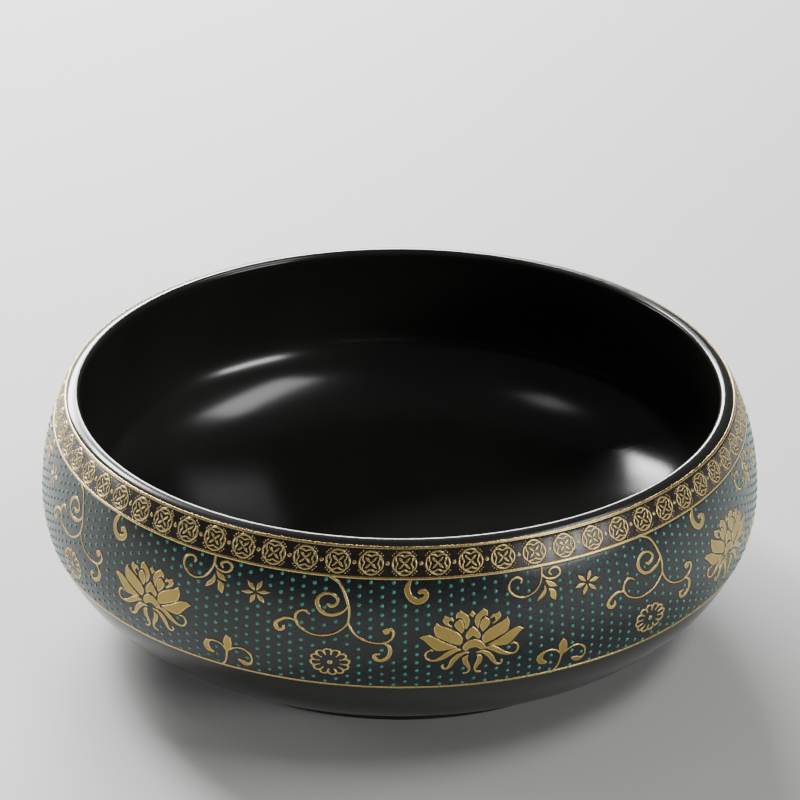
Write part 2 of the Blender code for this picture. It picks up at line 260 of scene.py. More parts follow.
def hull(corners):
    """Convex outline of a few points, so that a folded quad can't turn inside out."""
    pts = sorted((float(x), float(y)) for x, y in corners)
    chains = []
    for run in (pts, pts[::-1]):
        chain = []
        for p in run:
            while len(chain) > 1 and bend(chain[-2], chain[-1], p) <= 0.0:
                chain.pop()
            chain.append(p)
        chains += chain[:-1]
    return chains


def stroke(points, widths, grow=0.0, per_span=6):
    """A painted line as overlapping pieces: a quad for each step and a round at each end."""
    path = smooth(points, per_span)
    stations = np.linspace(0.0, len(widths) - 1.0, len(path))
    half = np.interp(stations, range(len(widths)), widths) / 2.0 + grow
    left = []
    right = []
    for i, point in enumerate(path):
        along = path[min(i + 1, len(path) - 1)] - path[max(i - 1, 0)]
        along = along / np.linalg.norm(along)
        side = np.array([-along[1], along[0]]) * half[i]
        left.append(point + side)
        right.append(point - side)
    shapes = []
    for i in range(len(path) - 1):
        shapes.append(hull([right[i], right[i + 1], left[i + 1], left[i]]))
    shapes.append(disc(path[0], half[0] * 0.98))
    shapes.append(disc(path[-1], half[-1] * 0.98))
    return shapes


def leaf(points, grow=0.0, sharp=(0,), per_span=5):
    """Closed outline through the points, smooth except where a point is sharp."""
    count = len(points)
    order = sorted(sharp)
    outline = []
    for n, first in enumerate(order):
        last = order[(n + 1) % len(order)]
        span = (last - first) % count or count
        run = [points[(first + k) % count] for k in range(span + 1)]
        outline += smooth(run, per_span)[:-1]
    if grow:
        outline = grown(outline, grow)
    return [outline]


def grown(outline, amount):
    """Outline pushed outwards by an amount, with short mitres."""
    pts = np.array(outline, float)
    if signed_area(pts) < 0.0:
        pts = pts[::-1]
    before = np.roll(pts, 1, 0)
    after = np.roll(pts, -1, 0)
    a = (pts - before) / np.linalg.norm(pts - before, axis=1)[:, None]
    b = (after - pts) / np.linalg.norm(after - pts, axis=1)[:, None]
    normal = np.stack([a[:, 1] + b[:, 1], -a[:, 0] - b[:, 0]], 1)
    size = np.maximum(np.linalg.norm(normal, axis=1), 0.9)
    return list(pts + normal / size[:, None] ** 2 * 2.0 * amount)


def signed_area(pts):
    x, y = pts[:, 0], pts[:, 1]
    return 0.5 * float(np.sum(x * np.roll(y, -1) - np.roll(x, -1) * y))


def mirror(points):
    return [(-x, y) for x, y in points]


# ---------------------------------------------------------------- raised pads from outlines

def boundary_distance(points, a, b):
    """Distance of each point to the nearest of the segments a-b."""
    best = np.full(len(points), 1e9)
    for start in range(0, len(a), 200):
        p, q = a[start:start + 200], b[start:start + 200]
        d = q - p
        rel = points[:, None, :] - p[None]
        t = np.clip((rel * d).sum(2) / np.maximum((d * d).sum(1), 1e-12), 0.0, 1.0)
        gap = np.linalg.norm(rel - t[..., None] * d, axis=2)
        best = np.minimum(best, gap.min(1))
    return best


def inside(points, a, b):
    """Whether each point lies inside the loops made by the segments a-b."""
    x, y = points[:, 0][:, None], points[:, 1][:, None]
    rising = (a[None, :, 1] <= y) & (b[None, :, 1] > y)
    falling = (a[None, :, 1] > y) & (b[None, :, 1] <= y)
    rise = np.where(np.abs(b[:, 1] - a[:, 1]) < 1e-12, 1e-12, b[:, 1] - a[:, 1])
    at = a[None, :, 0] + (y - a[None, :, 1]) * (b[:, 0] - a[:, 0])[None] / rise[None]
    ahead = x < at
    return (rising & ahead).sum(1) != (falling & ahead).sum(1)


def outer_edges(tris):
    """Directed edges that only one triangle has."""
    edges = set()
    for t in tris:
        for edge in ((t[0], t[1]), (t[1], t[2]), (t[2], t[0])):
            if edge[::-1] in edges:
                edges.remove(edge[::-1])
            else:
                edges.add(edge)
    return sorted(edges)


def union(shapes):
    """Union of closed shapes: its points, its triangles and its border edges."""
    points = []
    edges = []
    loops = []
    for shape in shapes:
        pts = np.array(shape, float)
        if signed_area(pts) < 0.0:
            pts = pts[::-1]
        start, count = len(points), len(pts)
        edges += [(start + i, start + (i + 1) % count) for i in range(count)]
        points += [Vector(p) for p in pts]
        loops.append(pts)
    verts, _, tris, _, _, _ = delaunay_2d_cdt(points, edges, [], 0, 1e-4)
    verts = np.array([tuple(v) for v in verts])
    centres = np.array([verts[list(t)].mean(0) for t in tris])
    covered = np.full(len(tris), False)
    for pts in loops:
        near = (centres >= pts.min(0)).all(1) & (centres <= pts.max(0)).all(1) & ~covered
        if near.any():
            covered[near] = inside(centres[near], pts, np.roll(pts, -1, 0))
    tris = [tuple(t) for t, c in zip(tris, covered) if c]
    return verts, tris, outer_edges(tris)


def pad(shapes, rings, spacing):
    """Flat mesh over the union of the shapes, with rows of points set in from its border.

    Gives points, distance of each from the border, triangles, and the border's directed edges.
    """
    verts, _, border = union(shapes)
    used = sorted({i for edge in border for i in edge})
    number = {old: new for new, old in enumerate(used)}
    edge_pts = verts[used]
    edges = [(number[a], number[b]) for a, b in border]
    a = edge_pts[[e[0] for e in edges]]
    b = edge_pts[[e[1] for e in edges]]
    inward = np.stack([-(b - a)[:, 1], (b - a)[:, 0]], 1)
    inward /= np.maximum(np.linalg.norm(inward, axis=1), 1e-9)[:, None]
    chosen = []
    for ring in rings:
        steps = (a + b) / 2.0 + inward * ring
        chosen += list(steps[boundary_distance(steps, a, b) > ring * 0.93])
    low, high = edge_pts.min(0), edge_pts.max(0)
    gx = np.arange(low[0], high[0], spacing)
    gy = np.arange(low[1], high[1], spacing)
    grid = np.array([(x + (spacing / 2 if k % 2 else 0.0), y)
                     for k, y in enumerate(gy) for x in gx])
    if len(grid):
        gap = boundary_distance(grid, a, b)
        keep = inside(grid, a, b) & (gap > (rings[-1] if rings else 0.0) + spacing * 0.4)
        chosen += list(grid[keep])
    chosen = thinned(chosen, 0.05)
    points = [Vector(p) for p in edge_pts] + [Vector(p) for p in chosen]
    flat, _, fine, origin, _, _ = delaunay_2d_cdt(points, edges, [], 0, 1e-5)
    flat = np.array([tuple(v) for v in flat])
    centres = np.array([flat[list(t)].mean(0) for t in fine])
    keep = inside(centres, a, b)
    fine = [tuple(t) for t, k in zip(fine, keep) if k]
    gap = boundary_distance(flat, a, b)
    rim = outer_edges(fine)
    on_rim = {i for edge in rim for i in edge}
    gap = np.array([0.0 if i in on_rim else gap[i] for i in range(len(flat))])
    return flat, gap, fine, rim


def thinned(points, least):
    """Points with any that crowd an earlier one left out."""
    kept = {}
    result = []
    for p in points:
        cell = (int(p[0] // least), int(p[1] // least))
        near = False
        for i in (-1, 0, 1):
            for j in (-1, 0, 1):
                other = kept.get((cell[0] + i, cell[1] + j))
                if other is not None and np.linalg.norm(other - p) < least:
                    near = True
        if not near:
            kept[cell] = p
            result.append(p)
    return result


PAD_SINK = 0.06              # how far a raised pad reaches into its ground


def raised(flat, gap, tris, rim, place, base, heights, depths):
    """Closed raised body on the wall: height grows from the border as the heights table says."""
    moved = flat + np.array([place, 0.0])
    top = on_wall(moved, base + np.interp(gap, depths, heights))
    under = on_wall(moved, np.full(len(flat), base - PAD_SINK))
    count = len(flat)
    faces = list(tris)
    faces += [(c + count, b + count, a + count) for a, b, c in tris]
    faces += [(b, a, a + count, b + count) for a, b in rim]
    return np.concatenate([top, under]), faces, np.concatenate([gap, gap])


# ---------------------------------------------------------------- ornament outlines
# Each gives a list of groups, and each group is one separate patch of gold.

def lotus(grow):
    bud = [(0.0, 17.05), (0.7, 16.3), (0.1, 15.5), (-0.6, 16.3)]
    heart = [(0.05, 13.9), (0.85, 13.2), (1.5, 12.3), (1.55, 11.5), (1.25, 11.15), (0.6, 11.5),
             (0.1, 11.85), (-0.45, 11.5), (-0.95, 11.1), (-1.3, 11.6), (-1.2, 12.5), (-0.6, 13.4)]
    saddle = [(0.2, 11.15), (1.2, 10.9), (2.0, 10.3), (2.5, 9.6), (2.25, 8.95), (1.65, 8.8),
              (1.0, 9.25), (0.2, 9.45), (-0.6, 9.2), (-1.2, 8.8), (-1.8, 9.0), (-1.9, 9.7),
              (-1.5, 10.5), (-0.7, 11.0)]
    half = [
        leaf([(0.45, 15.0), (0.9, 16.2), (2.3, 17.2), (3.05, 16.6), (3.1, 15.55), (2.75, 15.7),
              (2.35, 15.75), (1.75, 15.2), (1.4, 14.3), (1.25, 13.3), (0.7, 14.0)],
             grow, (0, 2, 4, 8)),
        leaf([(2.5, 15.55), (3.3, 14.9), (3.45, 14.2), (3.0, 13.4), (2.05, 12.45), (1.6, 13.2),
              (1.55, 14.1), (1.85, 15.0)], grow, (0, 4)),
        leaf([(3.5, 15.2), (3.9, 15.85), (4.6, 15.95), (5.35, 16.3), (5.7, 15.4), (5.35, 14.7),
              (4.8, 14.3), (4.1, 13.85), (3.85, 14.1), (4.35, 14.5), (4.55, 14.95), (4.3, 15.35),
              (3.8, 15.05)], grow, (3, 7)),
        leaf([(6.95, 15.05), (7.35, 14.0), (7.25, 13.0), (6.85, 12.1), (5.6, 11.4), (4.0, 10.6),
              (2.5, 10.05), (1.95, 10.6), (1.95, 11.7), (2.6, 12.6), (3.7, 13.3), (5.2, 14.0),
              (6.3, 14.55)], grow, (0, 6)),
        leaf([(10.2, 12.15), (9.3, 12.6), (8.2, 12.5), (7.0, 11.95), (5.2, 10.9), (3.0, 9.85),
              (3.05, 9.7), (4.6, 9.3), (6.4, 9.15), (7.3, 9.45), (8.3, 10.4), (9.2, 11.35)],
             grow, (0, 5)),
        stroke([(2.35, 9.15), (3.6, 9.0), (4.9, 8.3), (6.1, 7.55), (7.4, 7.15), (8.5, 7.35),
                (9.0, 8.15), (8.75, 9.0), (8.1, 9.4), (7.55, 9.25)],
               [0.35, 1.05, 1.15, 0.85, 0.5, 0.4, 0.4, 0.42, 0.4, 0.3], grow),
        stroke([(0.75, 8.4), (1.8, 8.35), (2.9, 7.8), (3.7, 6.9), (4.2, 5.95), (4.8, 5.25),
                (5.5, 5.2), (5.85, 5.7), (5.65, 6.05)],
               [0.3, 0.6, 1.05, 1.05, 0.75, 0.5, 0.4, 0.4, 0.4], grow),
        stroke([(0.95, 7.75), (1.4, 7.2), (1.3, 6.3), (0.85, 5.5), (0.55, 4.6), (0.85, 3.95),
                (1.6, 3.8)],
               [0.3, 1.05, 1.05, 0.8, 0.5, 0.4, 0.45], grow),
    ]
    groups = [leaf(bud, grow, (0, 1, 2, 3)), leaf(heart, grow, (0, 6)), leaf(saddle, grow, (5, 10))]
    for shapes in half:
        groups.append(shapes)
        groups.append([mirror(s) for s in shapes])
    return groups


def big_scroll(grow):
    stem = stroke([(-3.75, 23.5), (-2.9, 23.1), (-1.9, 22.4), (-1.1, 21.2), (-0.5, 19.8),
                   (0.0, 18.3), (0.25, 17.0), (0.2, 15.7), (-0.1, 14.6), (-1.3, 13.25), (-3.2, 12.15),
                   (-5.6, 11.72), (-7.9, 12.2), (-9.5, 13.2), (-10.2, 14.5), (-10.0, 15.7),
                   (-9.2, 16.35), (-8.3, 16.4), (-7.5, 15.85)],
                  [0.5, 0.5, 0.5, 0.45, 0.5, 0.5, 0.45, 0.4, 0.4, 0.4, 0.35, 0.4, 0.4, 0.45, 0.5,
                   0.55, 0.5, 0.45, 0.3], grow)
    spiral = stroke([(0.0, 18.3), (-0.6, 17.3), (-1.7, 16.5), (-3.1, 16.1), (-4.6, 16.3),
                     (-5.7, 17.2), (-6.1, 18.5), (-5.6, 19.6), (-4.5, 20.2), (-3.3, 20.2),
                     (-2.3, 19.6), (-2.05, 18.8), (-2.6, 18.05), (-3.4, 17.85), (-3.95, 18.15)],
                    [0.3, 0.45, 0.6, 0.7, 0.75, 0.8, 0.8, 0.7, 0.6, 0.5, 0.5, 0.55, 0.65, 0.7, 0.5],
                    grow)
    left_curl = stroke([(-9.9, 13.9), (-10.6, 14.35), (-11.6, 14.45), (-12.7, 14.2), (-13.6, 13.6),
                        (-14.15, 12.9), (-13.9, 12.15), (-13.2, 11.85), (-12.55, 12.2),
                        (-12.5, 12.75)],
                       [0.3, 0.45, 0.5, 0.6, 0.65, 0.75, 0.8, 0.75, 0.65, 0.5], grow)
    right_arm = stroke([(0.05, 15.2), (0.3, 14.2), (1.1, 12.9), (2.4, 11.8), (4.0, 11.15),
                        (5.7, 10.9), (7.2, 11.1), (8.3, 11.8), (8.8, 12.8), (8.5, 13.6),
                        (7.7, 13.85), (7.1, 13.5)],
                       [0.3, 0.4, 0.4, 0.4, 0.4, 0.4, 0.45, 0.5, 0.5, 0.5, 0.6, 0.8], grow)
    ball = [disc((7.4, 13.35), 0.62 + grow, 24)]
    right_curl = stroke([(6.6, 11.0), (7.5, 10.6), (8.1, 9.7), (8.05, 8.6), (7.4, 7.7), (6.4, 7.25),
                         (5.5, 7.4), (5.05, 8.0), (5.4, 8.55), (6.1, 8.6)],
                        [0.3, 0.5, 0.75, 0.8, 0.8, 0.75, 0.7, 0.65, 0.6, 0.35], grow)
    return [stem + spiral + left_curl + right_arm + ball + right_curl]


def daisy(grow):
    petals = []
    for k in range(12):
        middle = math.tau * (k + 0.25) / 12.0
        run = []
        for turn_by, reach in ((-0.235, 0.56), (-0.24, 0.80), (-0.17, 0.96), (0.0, 1.02),
                               (0.17, 0.96), (0.24, 0.80), (0.235, 0.56)):
            angle = middle + turn_by
            run.append((3.72 * reach * math.cos(angle), 6.2 + 2.85 * reach * math.sin(angle)))
        petals += stroke(run, [0.18, 0.34, 0.4, 0.42, 0.4, 0.34, 0.18], grow, 4)
    return [petals, [disc((0.0, 6.15), 0.52 + grow, 24)]]


def small_curl(grow):
    hook = stroke([(0.35, 23.55), (-0.1, 22.9), (-0.45, 21.9), (-0.25, 20.8), (0.4, 19.85),
                   (1.4, 19.35), (2.4, 19.5), (3.1, 20.1), (3.2, 20.9), (2.6, 21.3), (2.0, 21.15)],
                  [0.35, 0.85, 1.15, 1.2, 1.25, 1.3, 1.2, 1.1, 0.95, 0.85, 0.9], grow)
    return [hook]


def leaf_scroll(grow):
    stem = stroke([(0.0, 23.5), (-0.05, 22.6), (-0.2, 21.5), (-0.7, 20.3), (-1.6, 19.2),
                   (-2.9, 18.5), (-4.4, 18.25), (-5.9, 18.8), (-6.9, 19.9), (-7.0, 21.1),
                   (-6.3, 22.0), (-5.2, 22.25), (-4.4, 21.8), (-4.5, 21.2)],
                  [0.4, 0.38, 0.36, 0.36, 0.38, 0.36, 0.38, 0.42, 0.46, 0.46, 0.44, 0.45, 0.48,
                   0.42], grow)
    curl = stroke([(-0.05, 22.4), (0.3, 21.6), (1.1, 21.05), (2.2, 20.85), (3.2, 21.1),
                   (3.85, 21.7), (3.7, 22.5), (2.9, 22.9), (2.0, 22.75), (1.45, 22.2),
                    (1.9, 21.65)],
                  [0.3, 0.36, 0.4, 0.42, 0.45, 0.48, 0.48, 0.45, 0.45, 0.45, 0.35], grow)
    upper = leaf([(0.5, 20.85), (1.5, 20.5), (2.3, 20.05), (3.05, 19.15), (2.1, 19.2), (1.2, 19.5)],
                 grow, (0, 3))
    left = leaf([(0.3, 20.0), (0.6, 19.2), (0.45, 18.35), (-0.3, 17.6), (-1.5, 17.0), (-1.15, 17.9),
                 (-0.5, 18.55), (0.0, 19.1)], grow, (0, 4))
    right = leaf([(1.0, 19.15), (1.8, 18.9), (2.5, 18.4), (2.6, 17.6), (2.4, 16.5), (1.6, 17.0),
                  (1.3, 17.7), (1.3, 18.4)], grow, (0, 4))
    return [stem + curl, upper, left, right]


def star_flower(grow):
    petals = []
    for k in range(6):
        tip = math.radians(10.0 + 60.0 * k)
        run = []
        for turn_by, reach in ((0.0, 0.35), (-17.0, 1.15), (-13.0, 2.0), (0.0, 3.05),
                               (13.0, 2.0), (17.0, 1.15)):
            angle = tip + math.radians(turn_by)
            run.append((-0.2 + reach * math.cos(angle), 18.4 + 0.84 * reach * math.sin(angle)))
        petals.append(leaf(run, grow, (0, 3)))
    return petals


def base_sprig(grow):
    stem = stroke([(-1.75, 0.4), (-1.2, 1.05), (-0.6, 1.9), (-0.3, 2.9), (-0.15, 3.9), (0.1, 4.7)],
                  [0.42, 0.42, 0.42, 0.4, 0.4, 0.4], grow)
    bud = leaf([(0.2, 8.3), (0.85, 7.6), (1.15, 6.5), (0.85, 5.4), (0.15, 4.5), (-0.45, 5.4),
                (-0.72, 6.5), (-0.4, 7.6)], grow, (0, 4))
    left = stroke([(-0.1, 4.5), (-0.5, 5.2), (-1.3, 5.95), (-2.5, 6.25), (-3.6, 6.1)],
                  [0.36, 0.36, 0.38, 0.4, 0.4], grow)
    left_leaf = stroke([(-3.5, 6.1), (-4.3, 5.6), (-4.6, 4.7), (-4.25, 3.9), (-3.3, 3.45)],
                       [0.45, 1.0, 1.35, 1.25, 0.7], grow)
    right = stroke([(0.6, 4.95), (1.3, 5.55), (2.4, 5.95), (3.6, 5.95), (4.6, 5.4), (5.2, 4.4),
                    (5.2, 3.3), (4.7, 2.6)],
                   [0.36, 0.38, 0.4, 0.42, 0.42, 0.42, 0.42, 0.5], grow)
    right_leaf = stroke([(4.8, 2.6), (4.0, 2.45), (3.3, 2.7), (2.5, 3.05)],
                        [0.5, 1.1, 1.2, 0.6], grow)
    return [stem + bud + left + left_leaf + right + right_leaf]


MEDALLION_STRETCH = (1.03, 0.95)


def medallion(grow):
    shapes = []
    for k in range(4):
        turn_by = math.pi / 2.0 * k
        run = []
        for across, out in ((-1.75, 1.15), (-1.15, 1.95), (0.0, 2.3), (1.15, 1.95), (1.75, 1.15)):
            run.append(quarter(across, out, turn_by))
        shapes += stroke(run, [0.2, 0.34, 0.36, 0.34, 0.2], grow, 5)
        run = []
        for across, out in ((-1.2, 1.62), (-0.65, 1.62), (0.0, 1.33), (0.65, 1.62), (1.2, 1.62)):
            run.append(quarter(across, out, turn_by))
        shapes += stroke(run, [0.2, 0.32, 0.3, 0.32, 0.2], grow, 4)
        along = turn_by + math.pi / 4.0
        petal = [quarter_polar(r, along) for r in (0.12, 0.6, 1.05, 1.45)]
        shapes += stroke(petal, [0.16, 0.42, 0.44, 0.16], grow, 4)
        for swing in (-0.19, 0.0, 0.19):
            shapes.append(disc(quarter_polar(2.78, along + swing), 0.13 + grow, 12))
    return [shapes]


def quarter(across, out, turn_by):
    """Point of the medallion, turned with its quarter."""
    wide, tall = MEDALLION_STRETCH
    x = across * math.cos(turn_by) - out * math.sin(turn_by)
    y = across * math.sin(turn_by) + out * math.cos(turn_by)
    return (x * wide, BORDER_MIDDLE + y * tall)


def quarter_polar(reach, angle):
    """Point of the medallion at a reach and angle from its middle."""
    wide, tall = MEDALLION_STRETCH
    return (reach * math.cos(angle) * wide, BORDER_MIDDLE + reach * math.sin(angle) * tall)


# Each ornament with its place u round the wall, for the first group
ORNAMENTS = {
    "daisy": (daisy, -13.2),
    "big_scroll": (big_scroll, -9.8),
    "small_curl": (small_curl, 2.0),
    "lotus": (lotus, 14.0),
    "leaf_scroll": (leaf_scroll, 28.6),
    "base_sprig": (base_sprig, 32.2),
    "star_flower": (star_flower, 38.3),
}
PITCH = math.tau * UNROLL_RADIUS / REPEATS


# ---------------------------------------------------------------- materials

class Paint:
    """One procedural material, with short names for the nodes it needs."""

    def __init__(self, name):
        self.mat = bpy.data.materials.new(name)
        self.mat.use_nodes = True
        self.nodes = self.mat.node_tree.nodes
        self.links = self.mat.node_tree.links
        self.shader = self.nodes["Principled BSDF"]
        self.where = self.nodes.new("ShaderNodeTexCoord").outputs["Object"]

    def put(self, value, socket):
        if isinstance(value, bpy.types.NodeSocket):
            self.links.new(value, socket)
        else:
            socket.default_value = value

    def noise(self, scale, detail=4.0, rough=0.55, warp=0.0):
        node = self.nodes.new("ShaderNodeTexNoise")
        self.links.new(self.where, node.inputs["Vector"])
        for key, value in (("Scale", scale), ("Detail", detail), ("Roughness", rough),
                           ("Distortion", warp)):
            node.inputs[key].default_value = value
        return node.outputs["Fac"]

    def cells(self, scale):
        node = self.nodes.new("ShaderNodeTexVoronoi")
        self.links.new(self.where, node.inputs["Vector"])
        node.inputs["Scale"].default_value = scale
        return node.outputs["Distance"]

    def spread(self, value, low, high, new_low=0.0, new_high=1.0):
        node = self.nodes.new("ShaderNodeMapRange")
        self.links.new(value, node.inputs["Value"])
        for key, number in (("From Min", low), ("From Max", high), ("To Min", new_low),
                            ("To Max", new_high)):
            node.inputs[key].default_value = number
        return node.outputs["Result"]

    def ramp(self, value, *stops):
        node = self.nodes.new("ShaderNodeValToRGB")
        self.links.new(value, node.inputs["Fac"])
        ramp = node.color_ramp
        while len(ramp.elements) < len(stops):
            ramp.elements.new(0.5)
        for element, (at, colour) in zip(ramp.elements, stops):
            element.position = at
            element.color = (*colour, 1.0)
        return node.outputs["Color"]

    def mix(self, share, a, b):
        node = self.nodes.new("ShaderNodeMix")
        node.data_type = "RGBA"
        self.put(share, node.inputs[0])
        self.put(a if isinstance(a, bpy.types.NodeSocket) else (*a, 1.0), node.inputs[6])
        self.put(b if isinstance(b, bpy.types.NodeSocket) else (*b, 1.0), node.inputs[7])
        return node.outputs[2]

    def sums(self, what, a, b):
        node = self.nodes.new("ShaderNodeMath")
        node.operation = what
        self.put(a, node.inputs[0])
        self.put(b, node.inputs[1])
        return node.outputs[0]

    def bump(self, height, strength, distance):
        node = self.nodes.new("ShaderNodeBump")
        node.inputs["Strength"].default_value = strength
        node.inputs["Distance"].default_value = distance
        self.links.new(height, node.inputs["Height"])
        self.links.new(node.outputs["Normal"], self.shader.inputs["Normal"])

    def attribute(self, name):
        node = self.nodes.new("ShaderNodeAttribute")
        node.attribute_name = name
        return node.outputs["Fac"]

    def set(self, **values):
        for key, value in values.items():
            self.put(value, self.shader.inputs[key.replace("_", " ")])
        return self


def glaze_paint(name):
    p = Paint(name)
    cloud = p.noise(38.0, 5.0)
    p.set(Base_Color=p.ramp(cloud, (0.3, (0.0160, 0.0160, 0.0145)),
                            (0.75, (0.0220, 0.0216, 0.0195))))
    smear = p.noise(60.0, 2.0)
    p.set(Roughness=p.spread(smear, 0.3, 0.75, 0.175, 0.205), IOR=1.5)
    p.bump(p.noise(140.0, 1.0), 0.05, 0.0003)
    return p.mat


def clay_paint():
    p = Paint("bare_stoneware")
    cloud = p.noise(90.0, 6.0, 0.65)
    body = p.ramp(cloud, (0.25, (0.085, 0.052, 0.034)), (0.55, (0.145, 0.094, 0.062)),
                  (0.8, (0.21, 0.145, 0.10)))
    specks = p.spread(p.cells(1500.0), 0.10, 0.26)
    p.set(Base_Color=p.mix(specks, (0.035, 0.022, 0.016), body),
          Roughness=p.spread(cloud, 0.2, 0.8, 0.78, 0.95))
    p.bump(p.noise(1800.0, 4.0, 0.7), 0.5, 0.0003)
    return p.mat


def ground_paint(name, dark, mid, pale, rough):
    p = Paint(name)
    cloud = p.noise(55.0, 6.0, 0.6, 0.3)
    grain = p.noise(1300.0, 3.0, 0.7)
    tone = p.sums("ADD", p.sums("MULTIPLY", cloud, 0.7), p.sums("MULTIPLY", grain, 0.3))
    p.set(Base_Color=p.ramp(tone, (0.33, dark), (0.5, mid), (0.68, pale)))
    p.set(Roughness=p.spread(grain, 0.2, 0.8, rough - 0.05, rough + 0.06), IOR=1.5)
    p.bump(grain, 0.25, 0.00006)
    return p.mat


def gold_paint():
    p = Paint("gold_lustre")
    depth = p.attribute("painted_highlight_depth")
    grain = p.noise(2400.0, 3.0, 0.7)
    cloud = p.noise(170.0, 4.0)
    # Lighter gold along the raised rim and darker gold over the recessed middle: partly the gold's
    # own two finishes, partly painted light, a painted highlight on the rim and painted shade in the
    # recess.
    edge = p.spread(p.sums("ADD", depth, p.sums("MULTIPLY", grain, 0.10)), 0.12, 0.34)
    rim = p.ramp(grain, (0.3, (0.60, 0.43, 0.15)), (0.7, (0.82, 0.64, 0.27)))
    fill_gold_and_shade = p.ramp(cloud, (0.3, (0.37, 0.26, 0.065)), (0.7, (0.47, 0.34, 0.10)))
    p.set(Base_Color=p.mix(edge, rim, fill_gold_and_shade), Metallic=p.spread(edge, 0.0, 1.0, 0.92, 0.70))
    p.set(Roughness=p.sums("ADD", p.spread(edge, 0.0, 1.0, 0.25, 0.35),
                           p.spread(grain, 0.2, 0.8, -0.05, 0.06)))
    p.bump(grain, 0.35, 0.00008)
    return p.mat


def outline_paint():
    p = Paint("dark_outline")
    grain = p.noise(1100.0, 4.0, 0.7)
    p.set(Base_Color=p.ramp(grain, (0.3, (0.007, 0.0055, 0.0045)), (0.7, (0.020, 0.014, 0.010))))
    p.set(Roughness=p.spread(grain, 0.2, 0.8, 0.34, 0.46))
    return p.mat


def enamel_paint():
    p = Paint("teal_enamel")
    cloud = p.noise(60.0, 3.0)
    grain = p.noise(1500.0, 2.0)
    base = p.ramp(p.sums("ADD", p.sums("MULTIPLY", cloud, 0.6), p.sums("MULTIPLY", grain, 0.4)),
                  (0.36, (0.020, 0.19, 0.13)), (0.52, (0.040, 0.28, 0.205)),
                  (0.68, (0.075, 0.33, 0.30)))
    p.set(Base_Color=base, Roughness=p.spread(grain, 0.2, 0.8, 0.18, 0.26), Coat_Weight=0.6,
          Coat_Roughness=0.10)
    return p.mat


def floor_paint():
    p = Paint("pale_floor")
    cloud = p.noise(1.6, 2.0)
    p.set(Base_Color=p.ramp(cloud, (0.3, (0.70, 0.70, 0.69)), (0.7, (0.74, 0.74, 0.73))),
          Roughness=0.6)
    return p.mat


GLAZE = glaze_paint("satin_black_glaze")
UNDER_GLAZE = glaze_paint("under_glaze")
CLAY = clay_paint()
FIELD = ground_paint("blue_green_ground", (0.006, 0.009, 0.009), (0.011, 0.017, 0.017),
                     (0.020, 0.027, 0.028), 0.27)
BROWN = ground_paint("brown_ground", (0.010, 0.0065, 0.0055), (0.020, 0.013, 0.011),
                     (0.036, 0.025, 0.022), 0.28)
GOLD = gold_paint()
OUTLINE = outline_paint()
ENAMEL = enamel_paint()


# ---------------------------------------------------------------- clay, coats and films

def wavering(angle, seed, amount):
    """Slow, repeatable unevenness round a brushed ring."""
    total = 0.0
    for k, share in ((3, 0.5), (11, 0.3), (29, 0.25), (67, 0.2)):
        total += share * math.sin(k * angle + seed * (1.7 + k * 0.31))
    return amount * total


def hoop(edge, sides, seed=0.0, waver=0.0):
    """Closed ring on the wall. The edge lists (v, lift) down its outer face and back underneath."""
    verts = []
    for v, lift in edge:
        angles = [math.tau * i / sides for i in range(sides)]
        flat = np.array([(a * UNROLL_RADIUS, v + wavering(a, seed, waver)) for a in angles])
        verts.append(on_wall(flat, np.full(sides, lift)))
    faces = []
    count = len(edge)
    for k in range(count):
        for i in range(sides):
            j = (i + 1) % sides
            m = (k + 1) % count
            faces.append((k * sides + i, m * sides + i, m * sides + j, k * sides + j))
    return np.concatenate(verts), faces


def film(name, low, high, mat, slot):
    """Ground laid round the wall between two heights."""
    heights = np.linspace(high, low, 46)
    edge = [(v, GROUND_TOP) for v in heights]
    edge[0] = (high, GROUND_TOP - FILM_EDGE)
    edge[-1] = (low, GROUND_TOP - FILM_EDGE)
    edge += [(v, -FILM_SINK) for v in heights[::-1][::5]]
    verts, faces = hoop(edge, ROUND)
    new_piece(name, verts, faces, mat, [name])


def gold_line(name, low, high, seed, top):
    """Rounded gold ring on the wall between two heights."""
    middle, half = (low + high) / 2.0, (high - low) / 2.0
    edge = []
    for a in np.linspace(0.0, math.pi, 9):
        rise = (top - GROUND_TOP + 0.02) * math.sin(a) ** 0.8
        edge.append((middle + half * math.cos(a), GROUND_TOP - 0.02 + rise))
    # the outer face takes the lighter rim gold, which is partly a painted highlight
    shade = [0.10] * len(edge) + [0.0, 0.0]
    edge += [(low, 0.06), (high, 0.06)]
    sides = 2 * ROUND
    verts, faces = hoop(edge, sides, seed, 0.035)
    new_piece(name, verts, faces, GOLD, [name], np.repeat(shade, sides))


